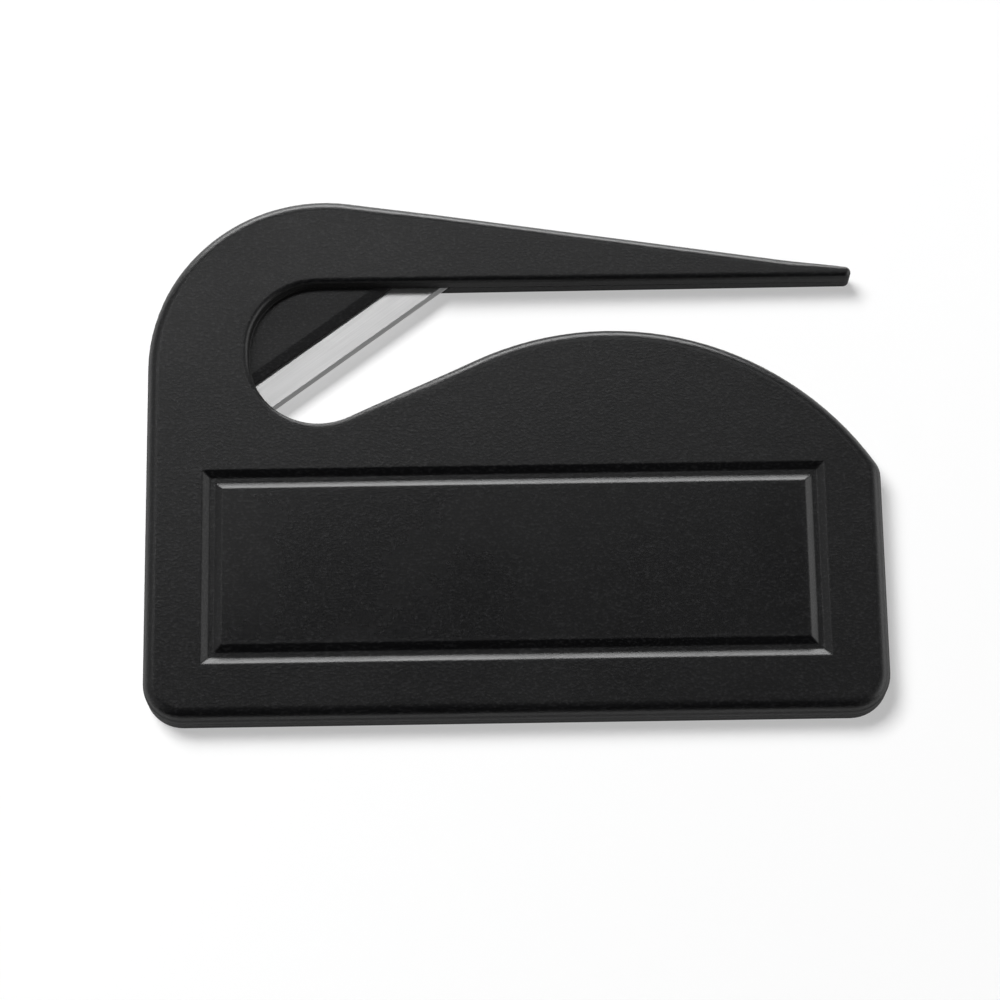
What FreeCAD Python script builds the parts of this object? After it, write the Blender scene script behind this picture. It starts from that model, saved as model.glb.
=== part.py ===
"""Pocket letter opener: two moulded casing halves that clamp a slanted steel blade.

Millimetres.  +X runs from the back of the handle to the tip of the arm, +Y from the
base up to the arm, +Z out of the front face.  The origin is the middle of the rear
face, so the rear face lies on z = 0.
"""
import FreeCAD, Part
import math
import os
import re

import Sketcher
from FreeCAD import Vector

# Driving sizes, each written once.  Everything below is bound to these cells.
SIZES = {
    # outline of the casing
    "width": 86.0,
    "height": 63.72,
    "base_corner": 4.6,
    "shoulder_round": 3.0,
    "hump_trim": 6.0,
    "hump_offset": 11.4,
    "hump_gap": 6.15,
    "throat_radius": 8.35,
    "throat_drop": 17.4,
    "back_width": 11.95,
    "crook_radius": 8.0,
    "arm_depth": 10.7,
    "back_radius": 20.7,
    "tip_radius": 0.72,
    "tip_setback": 2.4,
    "tip_run": 8.0,
    # thickness of the two halves, and how the arm thins to its tip
    "front_depth": 2.25,
    "rear_depth": 2.25,
    "taper_start": 34.0,
    "taper_bend": 140.0,
    "tip_front": 1.75,
    "tip_rear": 1.95,
    # moulded edge rounds
    "edge_round": 1.45,
    "arm_round": 1.25,
    "slim_round": 0.65,
    "rear_bevel": 0.4,
    "parting_chamfer": 0.1,
    # moat round the raised panel on the front face
    "moat_side": 6.7,
    "moat_base": 6.55,
    "moat_gap": 5.7,
    "moat_width": 2.3,
    "moat_floor": 0.6,
    "moat_depth": 0.5,
    # inside of the mouldings
    "wall": 1.2,
    "skin": 1.1,
    "arm_core": 52.0,
    "rib": 0.9,
    "rib_pitch": 19.0,
    "boss": 3.6,
    "boss_inset": 5.0,
    "shoulder_boss": 16.3,
    "rib_gap": 2.8,
    "pin": 1.6,
    "pin_length": 0.8,
    "pin_play": 0.1,
    "blade_pin_rise": 0.25,
    "socket_play": 0.15,
    # blade, its web and its seat
    "blade_angle": 36.3,
    "web_offset": 2.22,
    "web_recess": 1.6,
    "web_back": 0.7,
    "web_overlap": 1.1,
    "web_lip": 1.15,
    "web_fall": 0.2,
    "blade_show": 3.91,
    "blade_width": 7.35,
    "blade_thick": 0.3,
    "blade_land": 0.04,
    "bevel": 0.5,
    "blade_grip": 3.0,
    "blade_length": 31.0,
    "blade_clip": 1.8,
    "hole_lead": 7.0,
    "hole_pitch": 14.0,
    "hole_line": 1.75,
    "seat_play": 0.05,
    "seat_edge": 0.1,
}
RIBS = 3

# Slope of the arm's upper edge: the tangent shared by the back curve and the tip.
RUN = "(width - tip_setback - tip_radius - back_radius)"
RISE = "(back_radius + tip_radius - arm_depth)"
ARM_SLOPE = (
    "(asin((back_radius - tip_radius) / sqrt(%s ^ 2 + %s ^ 2)) - atan2(%s; %s))"
    % (RUN, RISE, RISE, RUN)
)
# Centre of the throat's floor curve, from which the blade and its web are laid out.
THROAT_X = "(back_width + throat_radius - width / 2)"
THROAT_Y = "(height / 2 - arm_depth - throat_drop + throat_radius)"
# Rise of the throat's floor above the base, the hump's radius, which falls short of half the
# width, and the depth of the hump's centre below the middle.
FLOOR = "(height - arm_depth - throat_drop)"
HUMP_RADIUS = "(width / 2 - hump_trim)"
HUMP_LOW = "(width / 2 - hump_trim + hump_gap + arm_depth - height / 2)"
WORD = re.compile(r"\b(%s)\b" % "|".join(sorted(SIZES, key=len, reverse=True)))


def cells(text):
    """Expression text with every size named as a cell of the sheet."""
    return WORD.sub(r"Sizes.\1", text)


def make_sheet(doc):
    sheet = doc.addObject("Spreadsheet::Sheet", "Sizes")
    for row, (name, value) in enumerate(SIZES.items(), start=1):
        sheet.set("A%d" % row, name.replace("_", " "))
        sheet.set("B%d" % row, "%g" % value)
        sheet.setAlias("B%d" % row, name)
    doc.recompute()
    return sheet


# ---------------------------------------------------------------- sketch helpers


def plane(body, role):
    for item in body.Origin.OriginFeatures:
        if item.Role == role:
            return item
    raise ValueError("no plane " + role)


def sketch_on(body, name, role, lift, along=None, turn=None):
    """A sketch on one of the body's own planes, lifted, moved and turned in it."""
    sketch = body.newObject("Sketcher::SketchObject", name)
    sketch.AttachmentSupport = [(plane(body, role), "")]
    sketch.MapMode = "FlatFace"
    sketch.setExpression(".AttachmentOffset.Base.z", cells(lift))
    if along:
        sketch.setExpression(".AttachmentOffset.Base.x", cells(along[0]))
        sketch.setExpression(".AttachmentOffset.Base.y", cells(along[1]))
    if turn:
        sketch.AttachmentOffset.Rotation.Axis = Vector(0, 0, 1)
        sketch.setExpression(".AttachmentOffset.Rotation.Angle", cells(turn))
    return sketch


def line(sketch, start, end):
    return sketch.addGeometry(Part.LineSegment(Vector(*start, 0), Vector(*end, 0)), False)


def arc(sketch, centre, radius, first, last):
    """Counterclockwise arc; the angles are in degrees."""
    circle = Part.Circle(Vector(*centre, 0), Vector(0, 0, 1), radius)
    return sketch.addGeometry(
        Part.ArcOfCircle(circle, math.radians(first), math.radians(last)), False
    )


def rule(sketch, *words):
    return sketch.addConstraint(Sketcher.Constraint(*words))


def drive(sketch, expression, *words):
    """A dimension bound to the sheet."""
    index = rule(sketch, *words)
    sketch.setExpression("Constraints[%d]" % index, cells(expression))
    return index


def corners(sketch, points):
    """Closed polygon; the start of each line is a corner."""
    count = len(points)
    lines = [line(sketch, points[i], points[(i + 1) % count]) for i in range(count)]
    for i in range(count):
        rule(sketch, "Coincident", lines[i], 2, lines[(i + 1) % count], 1)
    return lines


def level(sketch, horizontal, vertical):
    for edge in horizontal:
        rule(sketch, "Horizontal", edge)
    for edge in vertical:
        rule(sketch, "Vertical", edge)


def rectangle(sketch, left, right, low, high):
    base, side, roof, back = corners(
        sketch, [(left, low), (right, low), (right, high), (left, high)]
    )
    level(sketch, (base, roof), (side, back))
    return base, side, roof, back


def from_origin(sketch, axis, side, expression, edge, point, value):
    """Distance of a point from the sketch origin along one axis, on the given side."""
    kind = "Distance" + axis
    if side > 0:
        return drive(sketch, expression, kind, -1, 1, edge, point, abs(value))
    return drive(sketch, expression, kind, edge, point, -1, 1, abs(value))


# ---------------------------------------------------------------- the outline


def polar(centre, radius, degrees):
    angle = math.radians(degrees)
    return (centre[0] + radius * math.cos(angle), centre[1] + radius * math.sin(angle))


class Plan:
    """First positions of the outline's curves, from which the sketch solver starts."""

    def __init__(self, inset):
        s = SIZES
        self.inset = inset
        self.half = s["width"] / 2
        self.up = s["height"] / 2
        self.back = (s["back_radius"] - self.half, self.up - s["back_radius"])
        self.tip = (
            self.half - s["tip_setback"] - s["tip_radius"],
            self.up - s["arm_depth"] + s["tip_radius"],
        )
        roof = self.up - s["arm_depth"]
        self.swell = self.half - s["hump_trim"]
        self.hump = (s["hump_offset"], roof - s["hump_gap"] - self.swell)
        self.floor = (
            s["back_width"] + s["throat_radius"] - self.half,
            roof - s["throat_drop"] + s["throat_radius"],
        )
        self.crook = (
            s["back_width"] + s["crook_radius"] - self.half,
            self.up - s["arm_depth"] - s["crook_radius"],
        )
        across = self.half - s["shoulder_round"] - self.hump[0]
        reach = self.swell - s["shoulder_round"]
        rise = math.sqrt(reach ** 2 - across ** 2)
        self.shoulder = (self.half - s["shoulder_round"], self.hump[1] + rise)
        self.shoulder_turn = math.degrees(math.atan2(rise, across))
        self.ramp_turn = self.ramp()
        self.arm_turn = self.arm()

    def ramp(self):
        """Direction in which the ramp up to the hump faces."""
        run = self.floor[0] - self.hump[0]
        rise = self.floor[1] - self.hump[1]
        both = self.swell + SIZES["throat_radius"]
        return math.degrees(math.atan2(rise, run) - math.acos(both / math.hypot(run, rise)))

    def arm(self):
        """Direction in which the upper edge of the arm faces."""
        run = self.tip[0] - self.back[0]
        rise = self.tip[1] - self.back[1]
        fall = SIZES["back_radius"] - SIZES["tip_radius"]
        slope = math.atan2(rise, run) - math.asin(fall / math.hypot(run, rise))
        return 90 + math.degrees(slope)


def draw_outline(sketch, inset_by=None):
    """The casing's closed outline, or the same outline set in by a named size."""
    inset = SIZES[inset_by] if inset_by else 0.0
    less = " - " + inset_by if inset_by else ""
    more = " + " + inset_by if inset_by else ""
    plan = Plan(inset)
    parts = outline_curves(sketch, plan, inset, bool(inset_by))
    names = list(parts)
    for first, second in zip(names, names[1:] + names[:1]):
        if inset_by and "end" in (first, second):
            rule(sketch, "Coincident", *parts[first][:1], parts[first][2], *parts[second][:2])
        else:
            rule(sketch, "Tangent", parts[first][0], parts[first][2], *parts[second][:2])
    edge = {name: part[0] for name, part in parts.items()}
    level(sketch, (edge["base"], edge["under"]), (edge["right"], edge["throat"], edge["left"]))
    size_outline(sketch, edge, plan, less, more)
    if inset_by:
        rule(sketch, "Vertical", edge["end"])
        drive(sketch, "arm_core" + less, "DistanceX", edge["left"], 1, edge["end"], 1,
              SIZES["arm_core"] - inset)
        drive(sketch, "180 deg - " + ARM_SLOPE, "Angle", edge["upper"],
              math.radians(90 + plan.arm_turn))
    else:
        drive(sketch, "tip_radius", "Radius", edge["tip"], SIZES["tip_radius"])
        from_origin(sketch, "X", 1, "width / 2 - tip_setback - tip_radius",
                    edge["tip"], 3, plan.tip[0])
        drive(sketch, "tip_run", "DistanceX", edge["upper"], 1, edge["tip"], 3, SIZES["tip_run"])


def outline_curves(sketch, plan, inset, blunt):
    """Lines and arcs round the outline, each with its start and end point numbers."""
    s = SIZES
    half = plan.half - inset
    base = inset - plan.up
    corner = plan.half - s["base_corner"]
    foot = s["base_corner"] - plan.up
    round_in = s["base_corner"] - inset
    throat = s["back_width"] - plan.half - inset
    under = plan.up - s["arm_depth"] + inset
    crest = polar(plan.hump, plan.swell - inset, plan.ramp_turn)
    dip = polar(plan.floor, s["throat_radius"] + inset, plan.ramp_turn + 180)
    root = polar(plan.back, s["back_radius"] - inset, plan.arm_turn)
    nose = polar(plan.tip, s["tip_radius"] - inset, plan.arm_turn)
    parts = {
        "base": (line(sketch, (-corner, base), (corner, base)), 1, 2),
        "right_corner": (arc(sketch, (corner, foot), round_in, 270, 360), 1, 2),
        "right": (line(sketch, (half, foot), (half, plan.shoulder[1])), 1, 2),
        "shoulder": (arc(sketch, plan.shoulder, s["shoulder_round"] - inset, 0,
                         plan.shoulder_turn), 1, 2),
        "hump": (arc(sketch, plan.hump, plan.swell - inset, plan.shoulder_turn,
                     plan.ramp_turn), 1, 2),
        "ramp": (line(sketch, crest, dip), 1, 2),
        "floor": (arc(sketch, plan.floor, s["throat_radius"] + inset, 180,
                      plan.ramp_turn + 180), 2, 1),
        "throat": (line(sketch, (throat, plan.floor[1]), (throat, plan.crook[1])), 1, 2),
        "crook": (arc(sketch, plan.crook, s["crook_radius"] + inset, 90, 180), 2, 1),
    }
    if blunt:
        stop = s["arm_core"] - plan.half
        fall = math.tan(math.radians(plan.arm_turn - 90))
        top = root[1] + (stop - root[0]) * fall
        parts["under"] = (line(sketch, (plan.crook[0], under), (stop, under)), 1, 2)
        parts["end"] = (line(sketch, (stop, under), (stop, top)), 1, 2)
        nose = (stop, top)
    else:
        parts["under"] = (line(sketch, (plan.crook[0], under), (plan.tip[0], under)), 1, 2)
        parts["tip"] = (arc(sketch, plan.tip, s["tip_radius"], -90, plan.arm_turn), 1, 2)
        break_x = plan.tip[0] - s["tip_run"]
        share = (break_x - nose[0]) / (root[0] - nose[0])
        bend = (break_x, nose[1] + share * (root[1] - nose[1]))
        parts["nose"] = (line(sketch, nose, bend), 1, 2)
        nose = bend
    parts["upper"] = (line(sketch, nose, root), 1, 2)
    parts["back"] = (arc(sketch, plan.back, s["back_radius"] - inset, plan.arm_turn, 180), 1, 2)
    parts["left"] = (line(sketch, (-half, plan.back[1]), (-half, foot)), 1, 2)
    parts["left_corner"] = (arc(sketch, (-corner, foot), round_in, 180, 270), 1, 2)
    return parts


def size_outline(sketch, edge, plan, less, more):
    """Radii and places that the outer and the set-in outline share."""
    s = SIZES
    inset = plan.inset
    for name, size, sign in (
        ("right_corner", "base_corner", -1),
        ("shoulder", "shoulder_round", -1),
        ("back", "back_radius", -1),
        ("floor", "throat_radius", 1),
        ("crook", "crook_radius", 1),
    ):
        drive(sketch, size + (less if sign < 0 else more), "Radius", edge[name],
              s[size] + sign * inset)
    drive(sketch, HUMP_RADIUS + less, "Radius", edge["hump"], plan.swell - inset)
    rule(sketch, "Equal", edge["right_corner"], edge["left_corner"])
    from_origin(sketch, "X", 1, "width / 2" + less, edge["right"], 1, plan.half - inset)
    from_origin(sketch, "X", -1, "width / 2" + less, edge["left"], 1, plan.half - inset)
    from_origin(sketch, "Y", -1, "height / 2" + less, edge["base"], 1, plan.up - inset)
    from_origin(sketch, "X", 1, "hump_offset", edge["hump"], 3, plan.hump[0])
    from_origin(sketch, "Y", -1, HUMP_LOW, edge["hump"], 3, plan.hump[1])
    from_origin(sketch, "Y", 1, THROAT_Y, edge["floor"], 3, plan.floor[1])
    from_origin(sketch, "X", -1, "width / 2 - back_width" + more, edge["throat"], 1,
                plan.half - s["back_width"] + inset)
    from_origin(sketch, "Y", 1, "height / 2 - arm_depth" + more, edge["under"], 1,
                plan.up - s["arm_depth"] + inset)
    from_origin(sketch, "Y", 1, "height / 2 - back_radius", edge["back"], 3, plan.back[1])


# ---------------------------------------------------------------- casing blanks


def pad(body, name, sketch, length, down=False):
    feature = body.newObject("PartDesign::Pad", name)
    feature.Profile = sketch
    feature.Reversed = down
    feature.setExpression("Length", cells(length))
    return feature


def pocket(body, name, sketch, depth, up=False):
    feature = body.newObject("PartDesign::Pocket", name)
    feature.Profile = sketch
    feature.Type = "Length"
    feature.Reversed = up
    feature.setExpression("Length", cells(depth))
    return feature


def thin_arm(body, name, depth, tip_depth, side):
    """Roll the face of the arm down towards the tip, by a bend and a straight slope."""
    s = SIZES
    sketch = sketch_on(body, name + "Profile", "XZ_Plane", "-(height / 2 - arm_depth - 1)")
    start = s["taper_start"] - s["width"] / 2
    far = s["width"] / 2
    face = s["rear_depth"] + side * s[depth]
    slope = math.atan((s[depth] - s[tip_depth]) / (far - s["tip_setback"] - start))
    tangent = s["taper_bend"] * math.tan(slope / 2)
    bend_start = start - tangent
    bend_end = start + tangent * math.cos(slope)
    low = face - side * tangent * math.sin(slope)
    end = face - side * (far - start) * math.tan(slope)
    centre = (bend_start, face - side * s["taper_bend"])
    turn = math.degrees(slope)
    if side > 0:
        bend = arc(sketch, centre, s["taper_bend"], 90 - turn, 90)
        near, away = 2, 1
    else:
        bend = arc(sketch, centre, s["taper_bend"], 270, 270 + turn)
        near, away = 1, 2
    fall = line(sketch, (bend_end, low), (far, end))
    above = face + side * s[depth]
    stop = line(sketch, (far, end), (far, above))
    over = line(sketch, (far, above), (bend_start, above))
    drop = line(sketch, (bend_start, above), (bend_start, face))
    rule(sketch, "Tangent", bend, away, fall, 1)
    for first, second in ((fall, stop), (stop, over), (over, drop)):
        rule(sketch, "Coincident", first, 2, second, 1)
    rule(sketch, "Coincident", drop, 2, bend, near)
    level(sketch, (over,), (stop, drop))
    rule(sketch, "Vertical", bend, 3, bend, near)
    drive(sketch, "taper_bend", "Radius", bend, s["taper_bend"])
    if side > 0:
        from_origin(sketch, "Y", 1, "rear_depth + " + depth, bend, near, face)
    else:
        rule(sketch, "PointOnObject", bend, near, -1)
    ends = (drop, 2, drop, 1) if side > 0 else (drop, 1, drop, 2)
    drive(sketch, depth, "DistanceY", *ends, s[depth])
    from_origin(sketch, "X", 1, "width / 2", fall, 2, far)
    angle = "atan((%s - %s) / (width - tip_setback - taper_start))" % (depth, tip_depth)
    drive(sketch, "taper_bend * tan(%s / 2) + (width - taper_start)" % angle, "DistanceX",
          drop, 2, fall, 2, far - bend_start)
    ends = (fall, 2, bend, near) if side > 0 else (bend, near, fall, 2)
    drive(sketch, "(width - taper_start) * tan(%s)" % angle, "DistanceY", *ends, abs(face - end))
    return pocket(body, name, sketch, "arm_depth + 3")


def make_blank(doc, name, depth, tip_depth, side):
    """One half of the casing as a plain slab with its outline and its thinned arm."""
    body = doc.addObject("PartDesign::Body", name)
    sketch = sketch_on(body, name + "Outline", "XY_Plane", "rear_depth")
    draw_outline(sketch)
    slab = pad(body, name + "Slab", sketch, depth, down=side < 0)
    slab.Refine = False
    doc.recompute()
    taper = thin_arm(body, name + "Taper", depth, tip_depth, side)
    taper.Refine = False
    doc.recompute()
    return body


def round_at(point, big, plan):
    """Edge radius at a place on the outline: full on the body, slim in the throat,
    under the arm and at the tip, and in between along the top of the arm."""
    s = SIZES
    slim = min(s["slim_round"], 0.9 * s["tip_radius"])
    top = min(s["arm_round"], big, 0.9 * s["tip_front"])
    under = plan.up - s["arm_depth"]
    ramp_foot = polar(plan.floor, s["throat_radius"], plan.ramp_turn + 180)
    root = polar(plan.back, s["back_radius"], plan.arm_turn)
    if point.y > under - 0.01 and point.x > plan.crook[0] - 0.01:
        if abs(point.y - under) < 0.01 or point.x > plan.tip[0] - 0.01:
            return slim
        share = (point.x - root[0]) / (s["taper_start"] - plan.half - root[0])
        share = max(0.0, min(1.0, share))
        return big * (1 - share) + top * share
    inside = point.x < ramp_foot[0] + 0.01 and point.x > -plan.half + s["back_width"] - 0.01
    if inside and plan.floor[1] - s["throat_radius"] - 0.01 < point.y < under + 0.01:
        return slim
    return big


def face_loop(shape, side, middle):
    """Edges round the outer face of a slab, without the lines where the taper starts."""
    found = []
    for index, edge in enumerate(shape.Edges, start=1):
        ends = [edge.valueAt(edge.FirstParameter), edge.valueAt(edge.LastParameter)]
        heights = [side * (end.z - middle) for end in ends]
        across = abs(ends[0].x - ends[1].x) < 0.001 and abs(ends[0].z - ends[1].z) < 0.001
        crease = across and ends[0].x < 0.9 * SIZES["width"] / 2 and ends[0].y > SIZES["height"] / 4
        on_back = crease and ends[0].x < -0.5 * SIZES["width"] / 2
        if min(heights) > 0.3 and (not crease or on_back):
            found.append((index, ends))
    return found


def round_face(doc, name, blank, big, side):
    """Round the outer edge with a radius that changes smoothly along the loop."""
    plan = Plan(0.0)
    loop = face_loop(blank.Shape, side, SIZES["rear_depth"])
    index, ends = loop.pop(0)
    rounds = [(index, round_at(ends[0], big, plan), round_at(ends[1], big, plan))]
    here = ends[1]
    while loop:
        for item in loop:
            gaps = [end.distanceToPoint(here) for end in item[1]]
            if min(gaps) < 0.001:
                break
        else:
            raise ValueError("outline loop is broken")
        loop.remove(item)
        near, far = item[1] if gaps[0] < gaps[1] else reversed(item[1])
        rounds.append((item[0], round_at(near, big, plan), round_at(far, big, plan)))
        here = far
    fillet = doc.addObject("Part::Fillet", name)
    fillet.Base = blank
    fillet.Edges = rounds
    doc.recompute()
    return fillet


def bevel_rim(doc, name, base, edges, size):
    """Even bevel along a closed run of edges."""
    rim = doc.addObject("Part::Chamfer", name)
    rim.Base = base
    rim.Edges = [(index, size, size) for index in edges]
    doc.recompute()
    return rim


def parting_edges(shape):
    """Edges where the outside meets the parting plane."""
    low = SIZES["rear_depth"]
    return [
        index
        for index, edge in enumerate(shape.Edges, start=1)
        if all(abs(vertex.Point.z - low) < 0.001 for vertex in edge.Vertexes)
    ]


# ---------------------------------------------------------------- casing details


def edges_where(shape, test):
    return ["Edge%d" % i for i, edge in enumerate(shape.Edges, start=1) if test(edge)]


def blade_sketch(body, name, lift):
    """A sketch in the blade's own axes: X along the edge, Y back from it."""
    return sketch_on(body, name, "XY_Plane", lift, (THROAT_X, THROAT_Y), "blade_angle")


def circle(sketch, centre, size, value):
    """Circle with a driven diameter."""
    index = sketch.addGeometry(
        Part.Circle(Vector(*centre, 0), Vector(0, 0, 1), value / 2), False
    )
    drive(sketch, size, "Diameter", index, value)
    return index


def add_web(body, name, depth, recess, side):
    """Thin web that closes the corner of the throat, down to a line along the blade."""
    s = SIZES
    plan = Plan(0.0)
    left = s["back_width"] - plan.half - s["web_overlap"]
    top = plan.up - s["arm_depth"] + s["web_overlap"]
    lean = math.radians(s["blade_angle"])
    on_edge = (
        plan.floor[0] - s["web_offset"] * math.sin(lean),
        plan.floor[1] + s["web_offset"] * math.cos(lean),
    )
    low = on_edge[1] + (left - on_edge[0]) * math.tan(lean)
    right = on_edge[0] + (top - on_edge[1]) / math.tan(lean)
    sketch = sketch_on(body, name + "Outline", "XY_Plane", "rear_depth")
    back, edge, roof = corners(sketch, [(left, top), (left, low), (right, top)])
    level(sketch, (roof,), (back,))
    from_origin(sketch, "X", -1, "width / 2 - back_width + web_overlap", back, 1, left)
    from_origin(sketch, "Y", 1, "height / 2 - arm_depth + web_overlap", back, 1, top)
    drive(sketch, "blade_angle", "Angle", edge, lean)
    middle = sketch.addGeometry(Part.Point(Vector(*plan.floor, 0)), True)
    from_origin(sketch, "X", -1, "width / 2 - back_width - throat_radius", middle, 1, plan.floor[0])
    from_origin(sketch, "Y", 1, THROAT_Y, middle, 1, plan.floor[1])
    drive(sketch, "web_offset", "Distance", middle, 1, edge, s["web_offset"])
    web = pad(body, name, sketch, depth + " - " + recess, down=side < 0)
    body.Document.recompute()
    face = s["rear_depth"] + side * (s[depth] - s[recess])

    def along_blade(edge):
        if edge.Curve.TypeId != "Part::GeomLine":
            return False
        ends = [vertex.Point for vertex in edge.Vertexes]
        run = ends[1] - ends[0]
        flat = abs(ends[0].z - face) < 0.001 and abs(ends[1].z - face) < 0.001
        return flat and abs(abs(math.atan(run.y / run.x) if run.x else 9) - lean) < 0.001

    lip = body.newObject("PartDesign::Chamfer", name + "Lip")
    lip.Base = (web, edges_where(web.Shape, along_blade))
    lip.ChamferType = "Two distances"
    lip.setExpression("Size", cells("web_fall"))
    lip.setExpression("Size2", cells("web_lip"))
    body.Document.recompute()


def add_cavity(body, name, depth, side):
    sketch = sketch_on(body, name + "Outline", "XY_Plane", "rear_depth")
    draw_outline(sketch, "wall")
    pocket(body, name, sketch, depth + " - skin", up=side > 0)
    body.Document.recompute()


def add_ribs(body, name, depth, side):
    s = SIZES
    left = -(RIBS - 1) / 2 * s["rib_pitch"] - s["rib"] / 2
    right = left + s["rib"]
    low = -s["height"] / 2 + s["wall"] / 2
    high = s["height"] / 2 - s["arm_depth"] - s["throat_drop"] - s["rib_gap"]
    sketch = sketch_on(body, name + "Outline", "XY_Plane", "rear_depth")
    base, _, _, back = rectangle(sketch, left, right, low, high)
    start = "%g * rib_pitch + rib / 2" % ((RIBS - 1) / 2)
    from_origin(sketch, "X", -1, start, base, 1, left)
    drive(sketch, "rib", "DistanceX", base, 1, base, 2, s["rib"])
    from_origin(sketch, "Y", -1, "height / 2 - wall / 2", base, 1, low)
    drive(sketch, FLOOR + " - rib_gap - wall / 2", "DistanceY", base, 1, back, 1, high - low)
    rib = pad(body, name, sketch, depth + " - skin", down=side < 0)
    body.Document.recompute()
    row = body.newObject("PartDesign::LinearPattern", name + "Row")
    row.Originals = [rib]
    row.Direction = (sketch, ["H_Axis"])
    row.Occurrences = RIBS
    row.setExpression("Length", cells("%d * rib_pitch" % (RIBS - 1)))
    body.Tip = row
    body.Document.recompute()


def boss_places():
    """Where the two halves are pinned: side, expression and value along X and Y."""
    s = SIZES
    plan = Plan(0.0)
    inner = ("width / 2 - boss_inset", plan.half - s["boss_inset"])
    foot = (-1, "height / 2 - boss_inset", plan.up - s["boss_inset"])
    crest = plan.hump[1] + plan.swell - s["boss_inset"]
    shoulder = (-1, HUMP_LOW + " - shoulder_boss", -plan.hump[1] - s["shoulder_boss"])
    return [
        ((-1, *inner), foot),
        ((1, *inner), foot),
        ((1, *inner), shoulder),
        ((1, "hump_offset", s["hump_offset"]),
         (1, "height / 2 - arm_depth - hump_gap - boss_inset", crest)),
        ((-1, *inner), (1, "height / 2 - back_radius", plan.back[1])),
    ]


def boss_circles(body, name, size, value):
    sketch = sketch_on(body, name, "XY_Plane", "rear_depth")
    for across, along in boss_places():
        place = (across[0] * across[2], along[0] * along[2])
        ring = circle(sketch, place, size, value)
        from_origin(sketch, "X", across[0], across[1], ring, 3, across[2])
        from_origin(sketch, "Y", along[0], along[1], ring, 3, along[2])
    return sketch


def blade_holes(body, name, lift, size, value):
    """Two circles in the blade's axes, on the line of its locating holes."""
    s = SIZES
    line_up = s["web_offset"] - s["blade_show"] + s["blade_width"] - s["hole_line"]
    first = s["hole_lead"] - s["throat_radius"] - s["blade_grip"]
    sketch = blade_sketch(body, name, lift) if lift else sketch_on(body, name, "XY_Plane", "0 mm")
    rings = [circle(sketch, (first + i * s["hole_pitch"], line_up), size, value) for i in (0, 1)]
    from_origin(sketch, "X", -1, "throat_radius + blade_grip - hole_lead", rings[0], 3, first)
    drive(sketch, "hole_pitch", "DistanceX", rings[0], 3, rings[1], 3, s["hole_pitch"])
    for ring in rings:
        from_origin(sketch, "Y", 1, "web_offset - blade_show + blade_width - hole_line", ring, 3,
                    line_up)
    return sketch


def start_casing(doc, name, rounded, depth, side):
    body = doc.addObject("PartDesign::Body", name)
    body.Label = name
    body.BaseFeature = rounded
    doc.recompute()
    prefix = "Front" if side > 0 else "Rear"
    add_web(body, prefix + "Web", depth, "web_recess" if side > 0 else "web_back", side)
    add_cavity(body, prefix + "Cavity", depth, side)
    add_ribs(body, prefix + "Rib", depth, side)
    posts = boss_circles(body, prefix + "BossOutline", "boss", SIZES["boss"])
    pad(body, prefix + "Boss", posts, depth + " - skin", down=side < 0)
    doc.recompute()
    return body


def add_moat(body):
    """Sloped groove round a flush panel: a recess, with the panel standing in it."""
    s = SIZES
    half = s["width"] / 2 - s["moat_side"]
    low = s["moat_base"] - s["height"] / 2
    high = s["height"] / 2 - s["arm_depth"] - s["throat_drop"] - s["moat_gap"]
    slope = "atan((moat_width - moat_floor) / 2 / moat_depth)"
    foot = (s["moat_width"] + s["moat_floor"]) / 2
    for name, lift, back, less in (
        ("Recess", "rear_depth + front_depth", 0.0, ""),
        ("Panel", "rear_depth + front_depth - moat_depth", foot, "(moat_width + moat_floor) / 2"),
    ):
        sketch = sketch_on(body, name + "Outline", "XY_Plane", lift)
        ring = rectangle(sketch, back - half, half - back, low + back, high - back)
        reach = "width / 2 - moat_side" + (" - " + less if less else "")
        from_origin(sketch, "X", -1, reach, ring[0], 1, half - back)
        from_origin(sketch, "X", 1, reach, ring[0], 2, half - back)
        edge = "height / 2 - moat_base" + (" - " + less if less else "")
        from_origin(sketch, "Y", -1, edge, ring[0], 1, low + back)
        rise = FLOOR + " - moat_gap - moat_base" + (" - 2 * " + less if less else "")
        drive(sketch, rise, "DistanceY", ring[0], 1, ring[3], 1, high - low - 2 * back)
        make = pad if less else pocket
        feature = make(body, name, sketch, "moat_depth")
        feature.setExpression("TaperAngle", cells("-" + slope))
        body.Document.recompute()


def make_front(doc, rounded):
    body = start_casing(doc, "front_casing", rounded, "front_depth", 1)
    add_moat(body)
    pins = boss_circles(body, "FrontPinOutline", "pin", SIZES["pin"])
    pad(body, "FrontPin", pins, "pin_length", down=True)
    doc.recompute()
    wide = SIZES["pin"] + 2 * SIZES["socket_play"]
    sockets = blade_holes(body, "BladeSocketOutline", "rear_depth", "pin + 2 * socket_play", wide)
    pocket(body, "BladeSocket", sockets, "blade_pin_rise + pin_play", up=True)
    doc.recompute()
    return body


def add_seat(body):
    """Recess in the parting face that holds the blade."""
    s = SIZES
    play = s["seat_edge"]
    left = -(s["throat_radius"] + s["blade_grip"] + play)
    right = left + s["blade_length"] + 2 * play
    low = s["web_offset"] - s["blade_show"] - play
    high = low + s["blade_width"] + 2 * play
    sketch = blade_sketch(body, "SeatOutline", "rear_depth")
    base, _, _, back = rectangle(sketch, left, right, low, high)
    from_origin(sketch, "X", -1, "throat_radius + blade_grip + seat_edge", base, 1, left)
    from_origin(sketch, "Y", -1, "blade_show + seat_edge - web_offset", base, 1, low)
    drive(sketch, "blade_length + 2 * seat_edge", "DistanceX", base, 1, base, 2, right - left)
    drive(sketch, "blade_width + 2 * seat_edge", "DistanceY", base, 1, back, 1, high - low)
    pocket(body, "Seat", sketch, "blade_thick + seat_play")
    body.Document.recompute()


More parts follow.
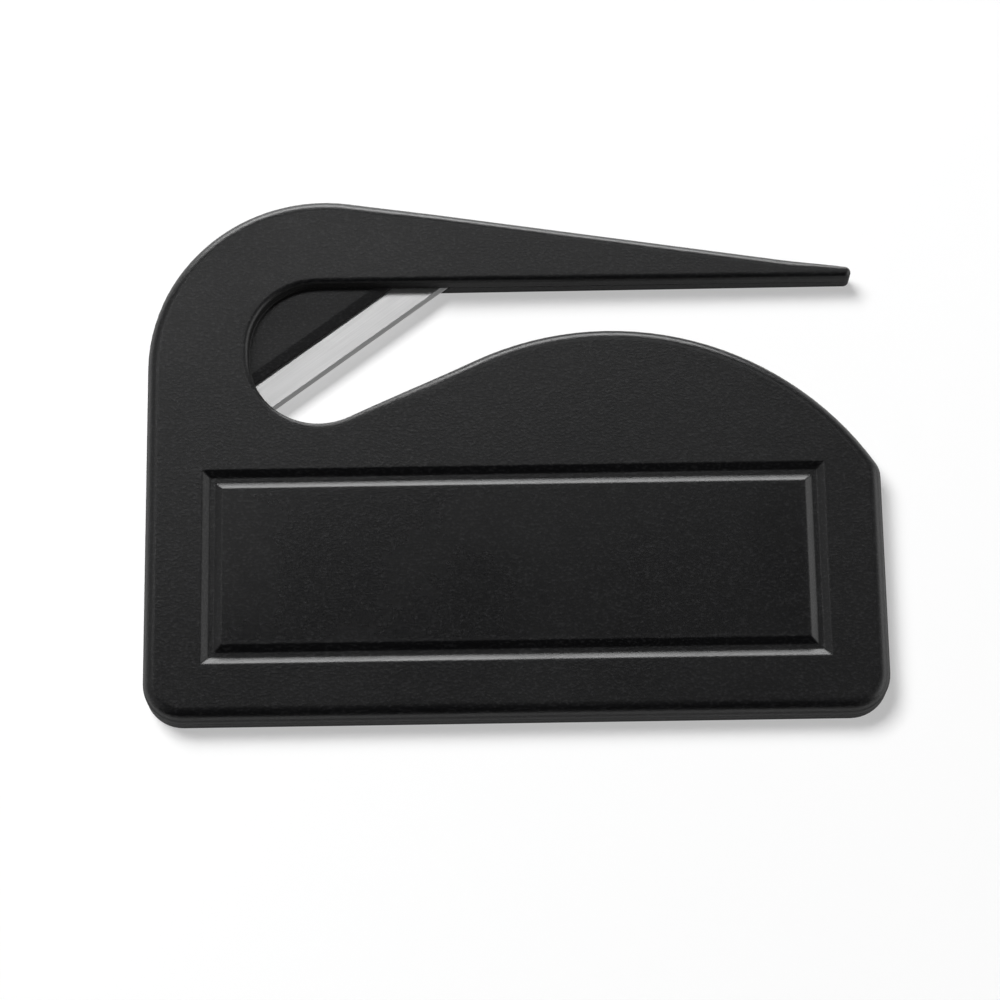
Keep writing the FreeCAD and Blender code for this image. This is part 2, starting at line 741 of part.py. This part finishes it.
def make_rear(doc, rounded):
    body = start_casing(doc, "rear_casing", rounded, "rear_depth", -1)
    wide = SIZES["pin"] + 2 * SIZES["socket_play"]
    sockets = boss_circles(body, "RearSocketOutline", "pin + 2 * socket_play", wide)
    pocket(body, "RearSocket", sockets, "pin_length + pin_play")
    doc.recompute()
    add_seat(body)
    seat = "rear_depth - blade_thick - seat_play"
    pins = blade_holes(body, "BladePinOutline", seat, "pin", SIZES["pin"])
    pad(body, "BladePin", pins, "blade_thick + seat_play + blade_pin_rise")
    doc.recompute()
    return body


def blade_section(body):
    """Cross-section of the strip: flat, with a ground bevel on both sides of one edge."""
    s = SIZES
    edge = s["web_offset"] - s["blade_show"]
    back = edge + s["blade_width"]
    ground = edge + s["bevel"]
    thick = s["blade_thick"]
    low = (thick - s["blade_land"]) / 2
    sketch = sketch_on(body, "BladeSection", "YZ_Plane", "-(throat_radius + blade_grip)")
    points = [(back, 0), (back, thick), (ground, thick), (edge, thick - low), (edge, low),
              (ground, 0)]
    spine, upper, grind, land, under, lower = corners(sketch, points)
    level(sketch, (upper, lower), (spine, land))
    rule(sketch, "PointOnObject", spine, 1, -1)
    rule(sketch, "Equal", grind, under)
    from_origin(sketch, "Y", 1, "blade_thick", spine, 2, thick)
    from_origin(sketch, "X", -1, "blade_show - web_offset", land, 1, edge)
    drive(sketch, "blade_width", "DistanceX", land, 1, spine, 1, s["blade_width"])
    drive(sketch, "bevel", "DistanceX", land, 1, grind, 1, s["bevel"])
    drive(sketch, "bevel", "DistanceX", land, 2, lower, 1, s["bevel"])
    drive(sketch, "blade_land", "DistanceY", land, 2, land, 1, s["blade_land"])
    return sketch


def make_blade(doc):
    body = doc.addObject("PartDesign::Body", "blade")
    body.Label = "blade"
    section = blade_section(body)
    strip = pad(body, "BladeStrip", section, "blade_length")
    doc.recompute()
    wide = SIZES["pin"] + 2 * SIZES["pin_play"]
    holes = blade_holes(body, "BladeHoleOutline", "", "pin + 2 * pin_play", wide)
    cut = pocket(body, "BladeHole", holes, "blade_thick", up=True)
    doc.recompute()
    back = SIZES["web_offset"] - SIZES["blade_show"] + SIZES["blade_width"]

    def back_corner(edge):
        ends = [vertex.Point for vertex in edge.Vertexes]
        upright = len(ends) == 2 and abs(ends[0].x - ends[1].x) < 0.001
        return upright and all(abs(end.y - back) < 0.001 for end in ends) and edge.Length < 1

    clip = body.newObject("PartDesign::Chamfer", "BladeClip")
    clip.Base = (cut, edges_where(cut.Shape, back_corner))
    clip.setExpression("Size", cells("blade_clip"))
    body.setExpression(".Placement.Base.x", cells(THROAT_X))
    body.setExpression(".Placement.Base.y", cells(THROAT_Y))
    body.setExpression(".Placement.Base.z", cells("rear_depth - blade_thick - seat_play"))
    body.Placement.Rotation.Axis = Vector(0, 0, 1)
    body.setExpression(".Placement.Rotation.Angle", cells("blade_angle"))
    doc.recompute()
    return body


# ---------------------------------------------------------------- the model


def make_halves(doc):
    """Both halves from rounded or bevelled blanks whose parting edges are broken."""
    s = SIZES
    seam = s["parting_chamfer"]
    blank = make_blank(doc, "FrontBlank", "front_depth", "tip_front", 1)
    most = 0.95 * (s["front_depth"] - seam)
    outer = round_face(doc, "FrontRounded", blank, min(s["edge_round"], most), 1)
    outer = bevel_rim(doc, "FrontSeam", outer, parting_edges(outer.Shape), seam)
    front = make_front(doc, outer)
    blank = make_blank(doc, "RearBlank", "rear_depth", "tip_rear", -1)
    rim = [index for index, _ in face_loop(blank.Shape, -1, s["rear_depth"])]
    outer = bevel_rim(doc, "RearBevel", blank, rim, s["rear_bevel"])
    outer = bevel_rim(doc, "RearSeam", outer, parting_edges(outer.Shape), seam)
    return [front, make_rear(doc, outer)]


def check(doc, pieces):
    for item in doc.Objects:
        if "Invalid" in item.State or "Error" in item.State:
            raise RuntimeError("%s did not build" % item.Name)
    for piece in pieces:
        shape = piece.Shape
        if shape.isNull() or not shape.isValid() or len(shape.Solids) != 1:
            raise RuntimeError("%s is not one sound solid" % piece.Label)


def main():
    doc = FreeCAD.newDocument("LetterOpener")
    make_sheet(doc)
    pieces = make_halves(doc) + [make_blade(doc)]
    doc.recompute()
    check(doc, pieces)
    os.makedirs("parts", exist_ok=True)
    for piece in pieces:
        piece.Shape.exportStep("parts/%s.step" % piece.Label)
        box = piece.Shape.BoundBox
        print(piece.Label, "%.1f mm3" % piece.Shape.Volume,
              "%.2f x %.2f x %.2f" % (box.XLength, box.YLength, box.ZLength))


main()
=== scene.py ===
"""Pocket letter opener: finishes, table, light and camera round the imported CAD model.

The casing is two moulded halves of black ABS that clamp a slanted strip of blade steel.
It lies on its rear face on a white table.  Metres, in the CAD model's own frame.
"""

import logging
import math
from dataclasses import dataclass, field
from enum import Enum
from typing import Any

import bpy
from mathutils import Matrix, Vector

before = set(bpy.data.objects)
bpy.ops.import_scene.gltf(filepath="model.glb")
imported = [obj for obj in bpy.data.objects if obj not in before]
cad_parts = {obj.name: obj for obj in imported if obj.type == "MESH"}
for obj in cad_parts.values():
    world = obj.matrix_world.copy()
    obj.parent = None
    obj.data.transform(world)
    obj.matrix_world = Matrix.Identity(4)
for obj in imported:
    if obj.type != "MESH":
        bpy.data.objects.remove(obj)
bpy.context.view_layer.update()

MM = 0.001
log = logging.getLogger("letter_opener")


# ------------------------------------------------------------------ small tools


def linear(code: str) -> tuple[float, float, float, float]:
    """Turn an sRGB hex colour into linear RGBA.

    Args:
        code: Colour such as "#1C1C1D".

    Returns:
        Linear red, green, blue and an alpha of 1.
    """
    values = []
    for start in (1, 3, 5):
        part = int(code[start:start + 2], 16) / 255
        values.append(part / 12.92 if part <= 0.04045 else ((part + 0.055) / 1.055) ** 2.4)
    return values[0], values[1], values[2], 1.0


def per_metre(size_mm: float) -> float:
    """Noise scale whose features are about the given size.

    Args:
        size_mm: Real size of one feature.

    Returns:
        Scale for a texture that reads Object coordinates in metres.
    """
    return 1.0 / (size_mm * MM)


def add_node(
    material: bpy.types.Material, kind: str, settings: dict[str, Any] | None = None,
    inputs: dict[str | int, Any] | None = None,
) -> bpy.types.Node:
    """Add a shader node with its settings, constants and links.

    Args:
        material: Material whose tree gets the node.
        kind: Node type, such as "ShaderNodeTexNoise".
        settings: Properties of the node itself.
        inputs: Values or output sockets, by the name or number of the input.

    Returns:
        The new node.
    """
    tree = material.node_tree
    node = tree.nodes.new(kind)
    for name, value in (settings or {}).items():
        setattr(node, name, value)
    for name, value in (inputs or {}).items():
        if isinstance(value, bpy.types.NodeSocket):
            tree.links.new(value, node.inputs[name])
        else:
            node.inputs[name].default_value = value
    return node


def new_material(name: str) -> bpy.types.Material:
    """Make an empty node material.

    Args:
        name: Name of the finish.

    Returns:
        Material with no nodes.
    """
    material = bpy.data.materials.new(name)
    material.use_nodes = True
    material.node_tree.nodes.clear()
    return material


def place_on_object(material: bpy.types.Material) -> bpy.types.NodeSocket:
    """Read the place on the opener, in metres of the CAD model's frame.

    Args:
        material: Material whose tree gets the node.

    Returns:
        Output socket with the Object coordinates.
    """
    return add_node(material, "ShaderNodeTexCoord").outputs["Object"]


def height_of(
    material: bpy.types.Material, vector: bpy.types.NodeSocket,
) -> bpy.types.NodeSocket:
    """Take the upright part of a vector.

    Args:
        material: Material whose tree gets the node.
        vector: Output with the vector.

    Returns:
        Output socket with Z.
    """
    return add_node(material, "ShaderNodeSeparateXYZ", inputs={"Vector": vector}).outputs["Z"]


def ramp(
    material: bpy.types.Material, factor: bpy.types.NodeSocket, low: float, high: float,
    start: float, end: float,
) -> bpy.types.NodeSocket:
    """Map a factor to a range, clamped at both ends.

    Args:
        material: Material whose tree gets the node.
        factor: Output to map.
        low: Factor at which the range starts.
        high: Factor at which the range ends.
        start: Value at the start.
        end: Value at the end.

    Returns:
        Output socket with the mapped value.
    """
    node = add_node(material, "ShaderNodeMapRange", {"clamp": True}, {
        "Value": factor, "From Min": low, "From Max": high, "To Min": start, "To Max": end,
    })
    return node.outputs["Result"]


def calculate(
    material: bpy.types.Material, operation: str, *values: float | bpy.types.NodeSocket,
) -> bpy.types.NodeSocket:
    """Combine numbers with a math node.

    Args:
        material: Material whose tree gets the node.
        operation: Name of the operation, such as "ADD".
        *values: Numbers or output sockets, in the order of the inputs.

    Returns:
        Output socket with the result.
    """
    node = add_node(
        material, "ShaderNodeMath", {"operation": operation}, dict(enumerate(values)),
    )
    return node.outputs["Value"]


class Blend(Enum):
    """What a mix node mixes: its data type, its two inputs and its output, by number."""

    NUMBER = ("FLOAT", 2, 3, 0)
    COLOUR = ("RGBA", 6, 7, 2)


def mix(
    material: bpy.types.Material, blend: Blend, share: bpy.types.NodeSocket,
    first: Any, second: Any,
) -> bpy.types.NodeSocket:
    """Blend two numbers or two colours.

    Args:
        material: Material whose tree gets the node.
        blend: Whether numbers or colours are blended.
        share: Share of the second one, from 0 to 1.
        first: Value or output socket at a share of 0.
        second: Value or output socket at a share of 1.

    Returns:
        Output socket with the blend.
    """
    data_type, first_input, second_input, output = blend.value
    node = add_node(material, "ShaderNodeMix", {"data_type": data_type}, {
        "Factor": share, first_input: first, second_input: second,
    })
    return node.outputs[output]


def finish_with(
    material: bpy.types.Material, surface: bpy.types.NodeSocket,
) -> bpy.types.Material:
    """Join the last shader to the material's output.

    Args:
        material: Material to complete.
        surface: Output of the last shader.

    Returns:
        The same material.
    """
    add_node(material, "ShaderNodeOutputMaterial", inputs={"Surface": surface})
    return material


def dress(piece: bpy.types.Object, material: bpy.types.Material) -> None:
    """Give every material slot of a piece the same finish.

    Args:
        piece: CAD node or new piece.
        material: Finish to assign.
    """
    if not piece.material_slots:
        piece.data.materials.append(material)
    for slot in piece.material_slots:
        slot.material = material


# --------------------------------------------------------------------- finishes


@dataclass(frozen=True)
class SatinBlackAbs:
    """Moulded black ABS, from a tool with a fine spark-eroded grain.

    The grain breaks the sheen into a soft satin, with its peaks rubbed paler and drawn
    out a little along the opener.  Handling leaves faint duller patches.  The raised panel
    is smoother and so looks blacker.  What no hand rubs, the sunken web, the rear and
    above all the side walls, is duller.  The corners of the moat are very slightly round,
    and the lower rim of the throat more so.
    """

    colour: str = "#060607"
    ior: float = 1.48

    # the moulded grain, and the clouds' values between which its peaks turn pale
    grain_mm: float = 0.26
    streak_mm: float = 0.4
    grain_detail: float = 2.0
    grain_depth_mm: float = 0.019
    peak_colour: str = "#1E1E1F"
    peak_span: tuple[float, float] = (0.52, 0.75)

    # roughness of the rubbed faces, its fine mottle and the duller patches
    roughness: float = 0.32
    mottle_mm: float = 1.6
    mottle_detail: float = 4.0
    mottle_span: tuple[float, float] = (0.3, 0.7)
    mottle_swing: float = 0.008
    patch_mm: float = 16.0
    patch_detail: float = 2.0
    patch_span: tuple[float, float] = (0.4, 0.62)
    dull: float = 0.355

    # what no hand rubs: below this height, and where the surface stands upright
    rubbed_above_mm: float = 3.6
    rubbed_edge_mm: float = 0.3
    sunken_roughness: float = 0.4
    wall_span: tuple[float, float] = (0.3, 0.6)
    wall_roughness: float = 0.85

    # the raised panel
    panel_centre_mm: tuple[float, float] = (0.0, -13.62)
    panel_half_mm: tuple[float, float] = (34.0, 9.38)
    panel_edge_mm: float = 0.5
    panel_polish: float = 0.055
    panel_grain: float = 0.42

    # rounding of sharp corners, and of the throat's lower rim within a flat oval
    corner_mm: float = 0.3
    corner_samples: int = 6
    rim_mm: float = 0.9
    rim_centre_mm: tuple[float, float] = (-17.0, 6.5)
    rim_reach_mm: float = 10.5
    rim_edge_mm: float = 1.5
    rim_flatness: float = 2.0

    def noise(
        self, material: bpy.types.Material, size_mm: float, detail: float,
        stretch: float = 1.0,
    ) -> bpy.types.NodeSocket:
        """Add a cloud of a real size, drawn out along the opener if wanted.

        Args:
            material: Material to add to.
            size_mm: Size of one cloud.
            detail: Number of finer layers.
            stretch: How many times longer than wide a cloud is.

        Returns:
            Output socket with the cloud, from 0 to 1.
        """
        along = add_node(material, "ShaderNodeMapping", inputs={
            "Vector": place_on_object(material), "Scale": (1.0 / stretch, 1.0, 1.0),
        }).outputs["Vector"]
        return add_node(material, "ShaderNodeTexNoise", inputs={
            "Vector": along, "Scale": per_metre(size_mm), "Detail": detail,
        }).outputs["Fac"]

    def on_panel(self, material: bpy.types.Material) -> bpy.types.NodeSocket:
        """Tell the raised panel from the rest of the front face.

        Args:
            material: Material to add to.

        Returns:
            Output socket that is 1 within the panel and 0 beyond its edge.
        """
        (centre_x, centre_y), (half_x, half_y) = self.panel_centre_mm, self.panel_half_mm
        offset = add_node(material, "ShaderNodeVectorMath", {"operation": "SUBTRACT"}, {
            0: place_on_object(material), 1: (centre_x * MM, centre_y * MM, 0.0),
        }).outputs["Vector"]
        reach = add_node(material, "ShaderNodeVectorMath", {"operation": "ABSOLUTE"}, {
            0: offset,
        }).outputs["Vector"]
        beyond = add_node(material, "ShaderNodeVectorMath", {"operation": "SUBTRACT"}, {
            0: reach, 1: (half_x * MM, half_y * MM, 0.0),
        }).outputs["Vector"]
        sides = add_node(material, "ShaderNodeSeparateXYZ", inputs={"Vector": beyond})
        furthest = calculate(material, "MAXIMUM", sides.outputs["X"], sides.outputs["Y"])
        return ramp(material, furthest, -self.panel_edge_mm * MM, 0.0, 1.0, 0.0)

    def sheen(
        self, material: bpy.types.Material, panel: bpy.types.NodeSocket,
    ) -> bpy.types.NodeSocket:
        """Work out how rough the surface is.

        Args:
            material: Material to add to.
            panel: Share of the raised panel.

        Returns:
            Output socket with the roughness.
        """
        mottle = self.noise(material, self.mottle_mm, self.mottle_detail)
        patch = self.noise(material, self.patch_mm, self.patch_detail)
        handled = calculate(
            material, "ADD",
            ramp(
                material, mottle, *self.mottle_span, -self.mottle_swing, self.mottle_swing,
            ),
            ramp(material, patch, *self.patch_span, self.roughness, self.dull),
        )
        rubbed = calculate(material, "MULTIPLY_ADD", panel, -self.panel_polish, handled)
        top = self.rubbed_above_mm * MM
        sunken = ramp(
            material, height_of(material, place_on_object(material)),
            top - self.rubbed_edge_mm * MM, top, 1.0, 0.0,
        )
        faces = mix(material, Blend.NUMBER, sunken, rubbed, self.sunken_roughness)
        normal = add_node(material, "ShaderNodeNewGeometry").outputs["True Normal"]
        level = calculate(material, "ABSOLUTE", height_of(material, normal))
        wall = ramp(material, level, *self.wall_span, 1.0, 0.0)
        return mix(material, Blend.NUMBER, wall, faces, self.wall_roughness)

    def rounding(self, material: bpy.types.Material) -> bpy.types.NodeSocket:
        """Round sharp corners a little, and the throat's lower rim more.

        Args:
            material: Material to add to.

        Returns:
            Output socket with the rounded normal.
        """
        centre_x, centre_y = self.rim_centre_mm
        flattened = add_node(material, "ShaderNodeMapping", inputs={
            "Vector": place_on_object(material),
            "Location": (-centre_x * MM, -centre_y * self.rim_flatness * MM, 0.0),
            "Scale": (1.0, self.rim_flatness, 0.0),
        }).outputs["Vector"]
        away = add_node(material, "ShaderNodeVectorMath", {"operation": "LENGTH"}, {
            0: flattened,
        }).outputs["Value"]
        radius = ramp(
            material, away, (self.rim_reach_mm - self.rim_edge_mm) * MM,
            (self.rim_reach_mm + self.rim_edge_mm) * MM, self.rim_mm * MM,
            self.corner_mm * MM,
        )
        return add_node(material, "ShaderNodeBevel", {"samples": self.corner_samples}, {
            "Radius": radius,
        }).outputs["Normal"]

    def build(self) -> bpy.types.Material:
        """Build the finish.

        Returns:
            The material.
        """
        material = new_material("satin_black_abs")
        stretch = self.streak_mm / self.grain_mm
        grain = self.noise(material, self.grain_mm, self.grain_detail, stretch)
        panel = self.on_panel(material)
        peaks = ramp(material, grain, *self.peak_span, 0.0, 1.0)
        depth = self.grain_depth_mm * MM
        relief = add_node(material, "ShaderNodeBump", inputs={
            "Strength": 1.0, "Height": grain, "Normal": self.rounding(material),
            "Distance": ramp(material, panel, 0.0, 1.0, depth, self.panel_grain * depth),
        })
        surface = add_node(material, "ShaderNodeBsdfPrincipled", inputs={
            "Base Color": mix(
                material, Blend.COLOUR, peaks, linear(self.colour), linear(self.peak_colour),
            ),
            "Roughness": self.sheen(material, panel),
            "IOR": self.ior,
            "Normal": relief.outputs["Normal"],
        })
        return finish_with(material, surface.outputs["BSDF"])


@dataclass(frozen=True)
class GroundBladeSteel:
    """Hardened strip steel, rolled bright, with fine grinding lines along the strip."""

    colour: str = "#E9E9E9"
    line_colour: str = "#E2E2E2"
    roughness: float = 0.3
    line_roughness: float = 0.38
    line_mm: float = 0.09
    line_length_mm: float = 6.0
    line_detail: float = 2.0
    line_span: tuple[float, float] = (0.3, 0.7)
    line_depth_mm: float = 0.001
    line_strength: float = 0.4
    lean_degrees: float = 36.3

    def build(self) -> bpy.types.Material:
        """Build the finish.

        Returns:
            The material.
        """
        material = new_material("ground_blade_steel")
        along = add_node(material, "ShaderNodeMapping", {"vector_type": "TEXTURE"}, {
            "Vector": place_on_object(material),
            "Rotation": (0.0, 0.0, math.radians(self.lean_degrees)),
            "Scale": (self.line_length_mm / self.line_mm, 1.0, 1.0),
        }).outputs["Vector"]
        lines = add_node(material, "ShaderNodeTexNoise", inputs={
            "Vector": along, "Scale": per_metre(self.line_mm), "Detail": self.line_detail,
        }).outputs["Fac"]
        share = ramp(material, lines, *self.line_span, 0.0, 1.0)
        relief = add_node(material, "ShaderNodeBump", inputs={
            "Strength": self.line_strength, "Distance": self.line_depth_mm * MM,
            "Height": lines,
        })
        surface = add_node(material, "ShaderNodeBsdfPrincipled", inputs={
            "Base Color": mix(
                material, Blend.COLOUR, share, linear(self.colour), linear(self.line_colour),
            ),
            "Metallic": 1.0,
            "Roughness": ramp(
                material, lines, *self.line_span, self.roughness, self.line_roughness,
            ),
            "Normal": relief.outputs["Normal"],
        })
        return finish_with(material, surface.outputs["BSDF"])


@dataclass(frozen=True)
class WhiteTableTop:
    """Matt white laminate, lifted to plain white where the camera or a reflection sees it."""

    colour: str = "#FCFCFC"
    lift: float = 0.45

    def build(self) -> bpy.types.Material:
        """Build the finish.

        Returns:
            The material.
        """
        material = new_material("white_table_top")
        surface = add_node(material, "ShaderNodeBsdfDiffuse", inputs={
            "Color": linear(self.colour),
        })
        glow = add_node(material, "ShaderNodeEmission", inputs={"Strength": 1.0})
        rays = add_node(material, "ShaderNodeLightPath")
        seen = rays.outputs["Is Camera Ray"]
        for name in ("Is Glossy Ray", "Is Transmission Ray"):
            seen = calculate(material, "MAXIMUM", seen, rays.outputs[name])
        both = add_node(material, "ShaderNodeMixShader", inputs={
            0: calculate(material, "MULTIPLY", seen, self.lift),
            1: surface.outputs["BSDF"], 2: glow.outputs["Emission"],
        })
        return finish_with(material, both.outputs["Shader"])


# ------------------------------------------------------------------- the pieces


@dataclass
class Casing:
    """The two moulded halves."""

    nodes: tuple[str, ...] = ("front_casing", "rear_casing")
    finish: SatinBlackAbs = field(default_factory=SatinBlackAbs)

    def build(self) -> None:
        """Dress both halves."""
        material = self.finish.build()
        for name in self.nodes:
            dress(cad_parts[name], material)
            log.info("%s dressed in %s", name, material.name)


@dataclass
class Blade:
    """The slanted cutting strip."""

    node: str = "blade"
    finish: GroundBladeSteel = field(default_factory=GroundBladeSteel)

    def build(self) -> None:
        """Dress the strip."""
        material = self.finish.build()
        dress(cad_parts[self.node], material)
        log.info("%s dressed in %s", self.node, material.name)


# ------------------------------------------------------------------- the studio


@dataclass
class Table:
    """Wide round white table top whose rim turns up as a low backdrop all round."""

    sides: int = 96
    radius_mm: float = 1500.0
    cove_mm: float = 150.0
    cove_steps: int = 8
    rim_mm: float = 150.0
    below_mm: float = 0.02
    finish: WhiteTableTop = field(default_factory=WhiteTableTop)

    def build(self) -> None:
        """Add the table top as a stage."""
        bpy.ops.object.select_all(action="DESELECT")
        bpy.ops.mesh.primitive_circle_add(
            vertices=self.sides, radius=self.radius_mm * MM, fill_type="NGON",
        )
        top = bpy.context.active_object
        top.name = "table_top"
        bpy.ops.object.mode_set(mode="EDIT")
        bpy.ops.mesh.select_mode(type="EDGE")
        bpy.ops.mesh.select_all(action="SELECT")
        bpy.ops.mesh.region_to_loop()
        turns = [math.pi / 2 * step / self.cove_steps for step in range(self.cove_steps + 1)]
        places = [
            (self.radius_mm + self.cove_mm * math.sin(turn),
             self.cove_mm * (1.0 - math.cos(turn)))
            for turn in turns
        ]
        places.append((places[-1][0], places[-1][1] + self.rim_mm))
        for (near, low), (far, high) in zip(places, places[1:]):
            bpy.ops.mesh.extrude_edges_move(
                TRANSFORM_OT_translate={"value": (0.0, 0.0, (high - low) * MM)},
            )
            bpy.ops.transform.resize(value=(far / near, far / near, 1.0))
        bpy.ops.object.mode_set(mode="OBJECT")
        bpy.ops.object.shade_smooth()
        top.data.transform(Matrix.Translation((0.0, 0.0, -self.below_mm * MM)))
        dress(top, self.finish.build())
        log.info("%s laid", top.name)


@dataclass(frozen=True)
class Softbox:
    """One rectangular soft light, aimed at the opener."""

    name: str
    centre_mm: tuple[float, float, float]
    size_mm: tuple[float, float]
    power: float
    glossy: bool = True
    diffuse: bool = True

    def build(self) -> None:
        """Add the light."""
        data = bpy.data.lights.new(self.name, "AREA")
        data.shape = "RECTANGLE"
        data.size = self.size_mm[0] * MM
        data.size_y = self.size_mm[1] * MM
        data.energy = self.power
        light = bpy.data.objects.new(self.name, data)
        bpy.context.scene.collection.objects.link(light)
        place = Vector(self.centre_mm) * MM
        light.location = place
        light.rotation_euler = (-place).to_track_quat("-Z", "Y").to_euler()
        light.visible_glossy = self.glossy
        light.visible_diffuse = self.diffuse
        log.info("%s hung", self.name)


@dataclass
class Studio:
    """Lights and surroundings."""

    surroundings: str = "#242425"
    softboxes: tuple[Softbox, ...] = (
        Softbox("shadow_key", (-530.0, 530.0, 1190.0), (640.0, 640.0), 25.0, glossy=False),
        Softbox("back_softbox", (-90.0, 675.0, 157.0), (700.0, 222.0), 5.4, diffuse=False),
        Softbox("overhead_strip", (-90.0, 302.0, 620.0), (700.0, 122.0), 0.65, diffuse=False),
        Softbox("left_panel", (-573.0, 0.0, 401.0), (808.0, 713.0), 0.9, diffuse=False),
        Softbox("right_high_panel", (440.0, 0.0, 544.0), (808.0, 272.0), 0.3, diffuse=False),
        Softbox("right_low_panel", (644.0, 0.0, 273.0), (808.0, 375.0), 2.0, diffuse=False),
        Softbox("ceiling_panel", (158.0, -24.0, 680.0), (190.0, 150.0), 0.04, diffuse=False),
    )

    def build(self) -> None:
        """Set the world and hang the lights."""
        scene = bpy.context.scene
        world = bpy.data.worlds.new("surroundings")
        world.use_nodes = True
        sky = world.node_tree.nodes["Background"]
        sky.inputs["Color"].default_value = linear(self.surroundings)
        scene.world = world
        for softbox in self.softboxes:
            softbox.build()
        scene.view_settings.view_transform = "Standard"


@dataclass(frozen=True)
class Camera:
    """Long lens above the front face, leaning back from square on."""

    aim_mm: tuple[float, float, float] = (-1.59, -5.99, 4.0)
    distance_mm: float = 388.6
    lean_degrees: float = 17.0
    roll_degrees: float = 0.87
    lens_mm: float = 119.95
    sensor_mm: float = 36.0
    nearest_mm: float = 10.0
    furthest_mm: float = 10000.0

    def build(self) -> None:
        """Add the camera and make it the scene's own."""
        lean = math.radians(self.lean_degrees)
        roll = math.radians(self.roll_degrees)
        back = Vector((0.0, -math.sin(lean), math.cos(lean)))
        level = Vector((1.0, 0.0, 0.0))
        upright = Vector((0.0, math.cos(lean), math.sin(lean)))
        right = level * math.cos(roll) - upright * math.sin(roll)
        up = level * math.sin(roll) + upright * math.cos(roll)
        place = (Vector(self.aim_mm) + back * self.distance_mm) * MM
        data = bpy.data.cameras.new("camera")
        data.sensor_fit = "HORIZONTAL"
        data.sensor_width = self.sensor_mm
        data.lens = self.lens_mm
        data.clip_start = self.nearest_mm * MM
        data.clip_end = self.furthest_mm * MM
        camera = bpy.data.objects.new("camera", data)
        bpy.context.scene.collection.objects.link(camera)
        turn = Matrix((right, up, back)).transposed().to_4x4()
        camera.matrix_world = Matrix.Translation(place) @ turn
        bpy.context.scene.camera = camera
        log.info("camera set at %.1f mm", self.distance_mm)


def main() -> None:
    """Build the object, then the studio and the camera."""
    logging.basicConfig(level=logging.INFO, format="%(name)s: %(message)s")
    Casing().build()
    Blade().build()
    Table().build()
    Studio().build()
    Camera().build()


if __name__ == "__main__":
    main()
